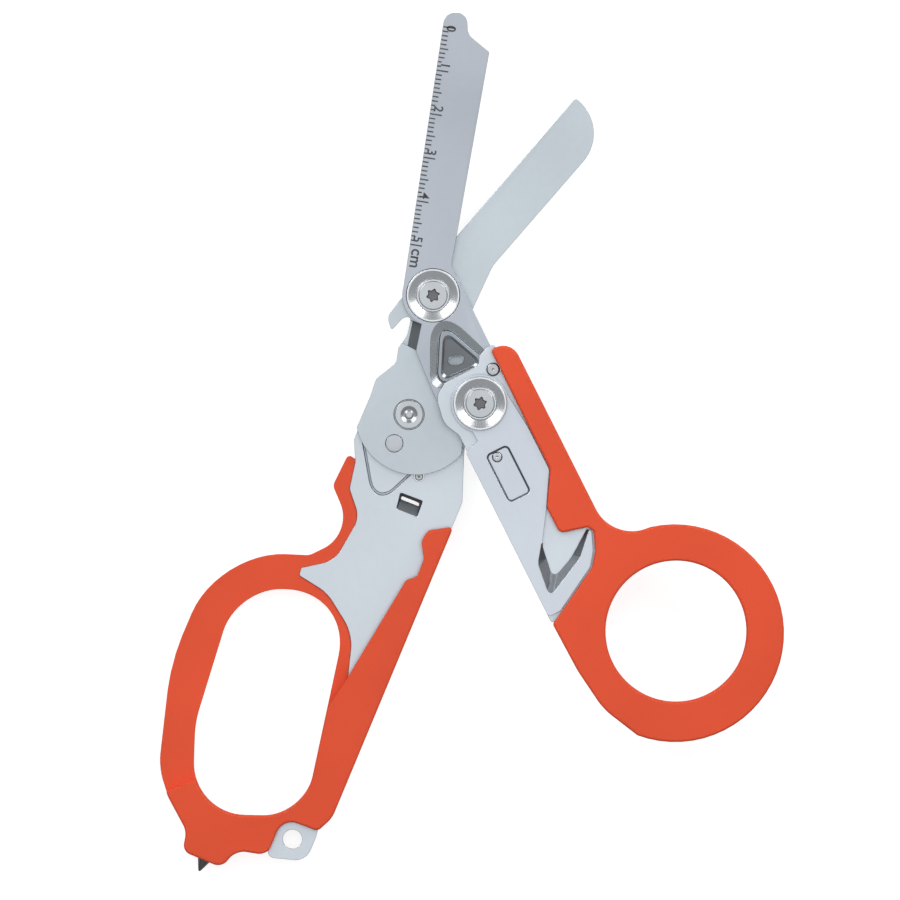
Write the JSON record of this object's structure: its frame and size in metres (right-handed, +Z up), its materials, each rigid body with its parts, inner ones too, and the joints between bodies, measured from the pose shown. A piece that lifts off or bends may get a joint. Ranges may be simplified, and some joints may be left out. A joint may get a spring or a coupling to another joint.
{
  "type": "folding rescue shears",
  "caption": "Folding rescue shears: ruler blade over a rear blade, two folding handles with moulded orange grips, thumb ring and finger loop, swing-out strap cutter, glass breaker.",
  "frame": {"origin": "bottom centre of the box round the half open tool, on the surface it lies on", "axes": "the tool lies flat with its front face up along +Z; +Y runs from the handles to the blades' points; +X runs towards the thumb ring's side"},
  "size_m": [0.1418, 0.1952, 0.0151],
  "materials": {
    "left_handle_frame": "satin, bead blasted",
    "left_handle_grip": "moulded, satin",
    "glass_breaker_holder": "satin, bead blasted",
    "glass_breaker_tip": "dark sintered carbide",
    "left_frame_stop_pin": "satin, bead blasted",
    "left_pivot_washer": "polished steel",
    "left_pivot_screw": "polished steel",
    "left_pivot_nut": "satin, bead blasted",
    "left_lock_spring": "satin, bead blasted",
    "rear_blade": "satin, bead blasted",
    "rear_blade_stop_rivet": "satin, bead blasted",
    "ruler_blade": "satin, bead blasted",
    "main_pivot_washer": "polished steel",
    "main_pivot_screw": "polished steel",
    "main_pivot_nut": "satin, bead blasted",
    "right_pivot_washer": "polished steel",
    "right_pivot_screw": "polished steel",
    "right_pivot_nut": "satin, bead blasted",
    "right_lock_cover": "satin, bead blasted",
    "right_lock_spring": "satin, bead blasted",
    "right_handle_frame": "satin, bead blasted",
    "right_handle_grip": "moulded, satin",
    "cutter_stop_pin": "polished steel",
    "strap_cutter": "satin, bead blasted",
    "cutter_detent_pin": "polished steel",
    "right_lock_button": "satin, bead blasted",
    "left_lock_lever": "satin, bead blasted"
  },
  "bodies": {
    "left_handle": {"left_handle_frame": "left_handle_frame", "left_handle_grip": "left_handle_grip", "glass_breaker_holder": "glass_breaker_holder", "glass_breaker_tip": "glass_breaker_tip", "left_frame_stop_pin": "left_frame_stop_pin", "left_pivot_washer": "left_pivot_washer", "left_pivot_screw": "left_pivot_screw", "left_pivot_nut": "left_pivot_nut", "left_lock_spring": "left_lock_spring"},
    "rear_blade": {"rear_blade": "rear_blade", "rear_blade_stop_rivet": "rear_blade_stop_rivet"},
    "ruler_blade": {"ruler_blade": "ruler_blade", "main_pivot_washer": "main_pivot_washer", "main_pivot_screw": "main_pivot_screw", "main_pivot_nut": "main_pivot_nut", "right_pivot_washer": "right_pivot_washer", "right_pivot_screw": "right_pivot_screw", "right_pivot_nut": "right_pivot_nut", "right_lock_cover": "right_lock_cover", "right_lock_spring": "right_lock_spring"},
    "right_handle": {"right_handle_frame": "right_handle_frame", "right_handle_grip": "right_handle_grip", "cutter_stop_pin": "cutter_stop_pin"},
    "strap_cutter": {"strap_cutter": "strap_cutter", "cutter_detent_pin": "cutter_detent_pin"},
    "lock_button": {"right_lock_button": "right_lock_button"},
    "lock_lever": {"left_lock_lever": "left_lock_lever"}
  },
  "joints": [
    {"name": "left_handle_fold", "type": "hinge", "parent": "left_handle", "child": "rear_blade", "pos_m": [-0.01411, 0.00636, 0], "axis": [0, 0, 1], "range_deg": [0, 180]},
    {"name": "shears_pivot", "type": "hinge", "parent": "rear_blade", "child": "ruler_blade", "pos_m": [-0.00866, 0.03342, 0], "axis": [0, 0, -1], "range_deg": [-18, 33]},
    {"name": "right_handle_fold", "type": "hinge", "parent": "ruler_blade", "child": "right_handle", "pos_m": [0.00203, 0.00884, 0], "axis": [0, 0, 1], "range_deg": [0, 180]},
    {"name": "strap_cutter_swing", "type": "hinge", "parent": "right_handle", "child": "strap_cutter", "pos_m": [0.00203, 0.00884, 0], "axis": [0, 0, -1], "range_deg": [0, 175]},
    {"name": "right_lock_press", "type": "slide", "parent": "ruler_blade", "child": "lock_button", "axis": [0, 0, -1], "range_m": [0, 0.0005], "stiffness_N_per_m": 800, "springref_m": -0.0005, "deforming": ["right_lock_spring"]},
    {"name": "left_lock_press", "type": "slide", "parent": "left_handle", "child": "lock_lever", "axis": [0, 0, -1], "range_m": [0, 0.0004], "stiffness_N_per_m": 800, "springref_m": -0.0005, "deforming": ["left_lock_spring"]}
  ]
}
